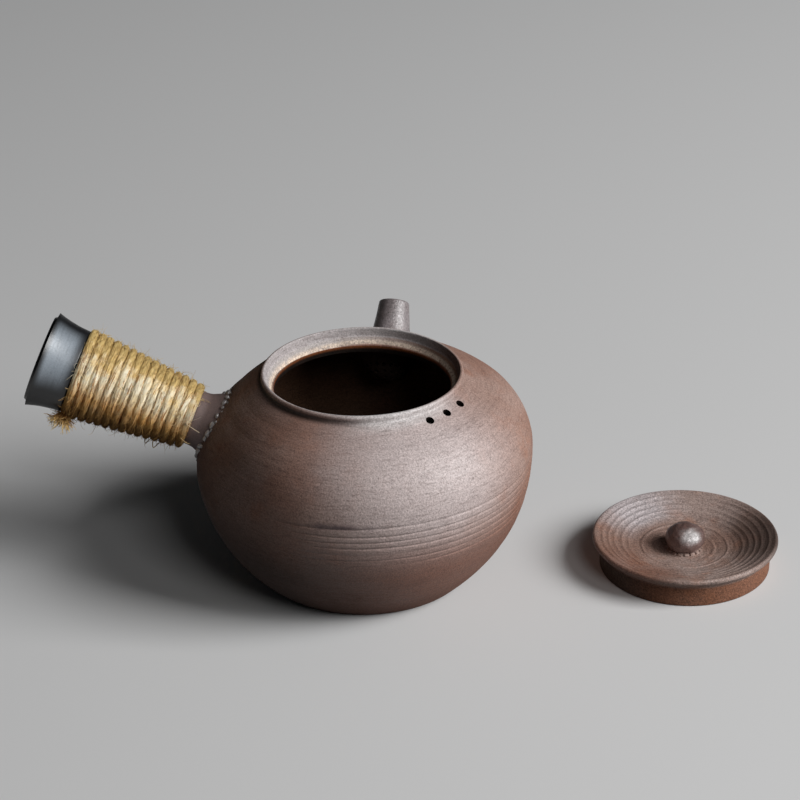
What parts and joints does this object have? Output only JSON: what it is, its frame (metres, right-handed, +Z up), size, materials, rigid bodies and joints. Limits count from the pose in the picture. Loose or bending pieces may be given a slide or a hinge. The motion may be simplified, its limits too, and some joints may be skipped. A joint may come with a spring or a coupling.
{
  "type": "stoneware teapot",
  "caption": "Squat wheel-thrown stoneware teapot with a twine-bound hollow side handle, a short back spout with ball strainer, shoulder vents and a dished lift-off lid with a ball knob.",
  "frame": {"origin": "centre of the pot's flat base, at table level", "axes": "+Z up along the pot's axis, +Y towards the spout, the handle on the -X side and the lid on the table on the +X side"},
  "size_m": [0.3238, 0.1542, 0.1129],
  "materials": {
    "stoneware": "unglazed, matt, sandy, with throwing rings",
    "dark_stoneware": "smooth dark burnished stoneware",
    "inner_stoneware": "unglazed orange-brown",
    "ash_glaze": "glossy ash-glazed pellets",
    "jute_twine": "natural plied jute"
  },
  "bodies": {
    "pot": {"pot_body": "stoneware", "spout": "dark_stoneware", "strainer": "inner_stoneware", "handle": "dark_stoneware", "handle_luting_beads": "ash_glaze", "twine_wrap": "jute_twine"},
    "lid": {"lid": "stoneware", "lid_knob": "stoneware", "knob_luting_ring": "stoneware"}
  },
  "joints": [
    {"name": "lid_lift", "type": "slide", "parent": "pot", "child": "lid", "axis": [0, 0, 1], "range_m": [0, 0.12]}
  ]
}
